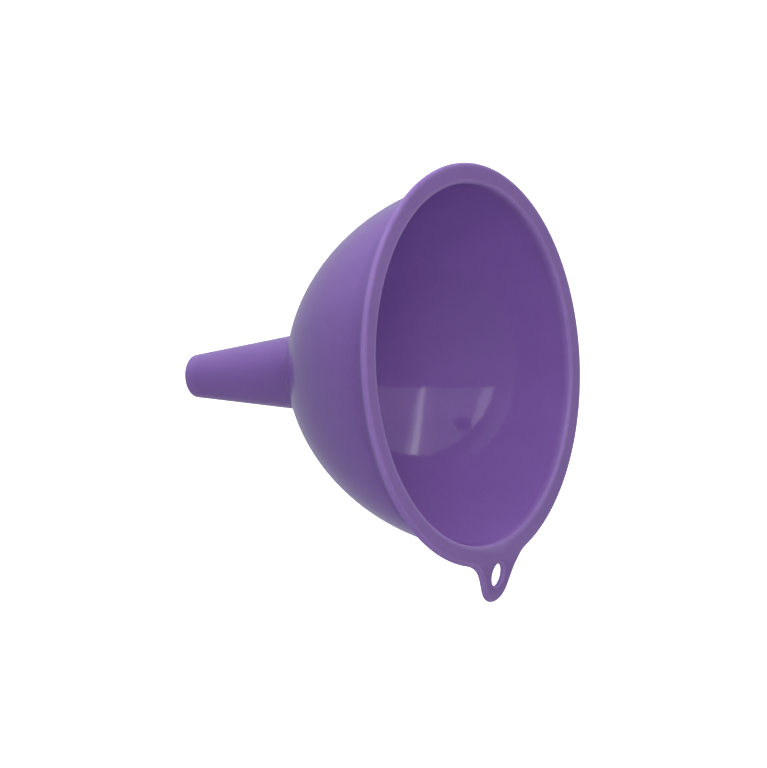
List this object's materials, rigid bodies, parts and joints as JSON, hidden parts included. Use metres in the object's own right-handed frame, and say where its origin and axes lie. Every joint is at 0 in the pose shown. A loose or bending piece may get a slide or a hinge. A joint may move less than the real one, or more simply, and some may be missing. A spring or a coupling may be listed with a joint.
{
  "type": "kitchen funnel",
  "caption": "Round funnel with a deep bowl, a flat rim, a tapered spout and a hanging tab, for filling bottles and narrow jars.",
  "frame": {"origin": "on the funnel's axis where the underside of the bowl meets the spout, which is where a bottle's neck stops it", "axes": "+Z along the funnel's axis and out of the mouth, so the spout points to -Z; +X out through the hanging tab; the part is mirror symmetric about the XZ plane"},
  "size_m": [0.1316, 0.12, 0.1036],
  "materials": {
    "purple_polypropylene": "satin"
  },
  "bodies": {
    "root": {"funnel": "purple_polypropylene"}
  },
  "joints": []
}
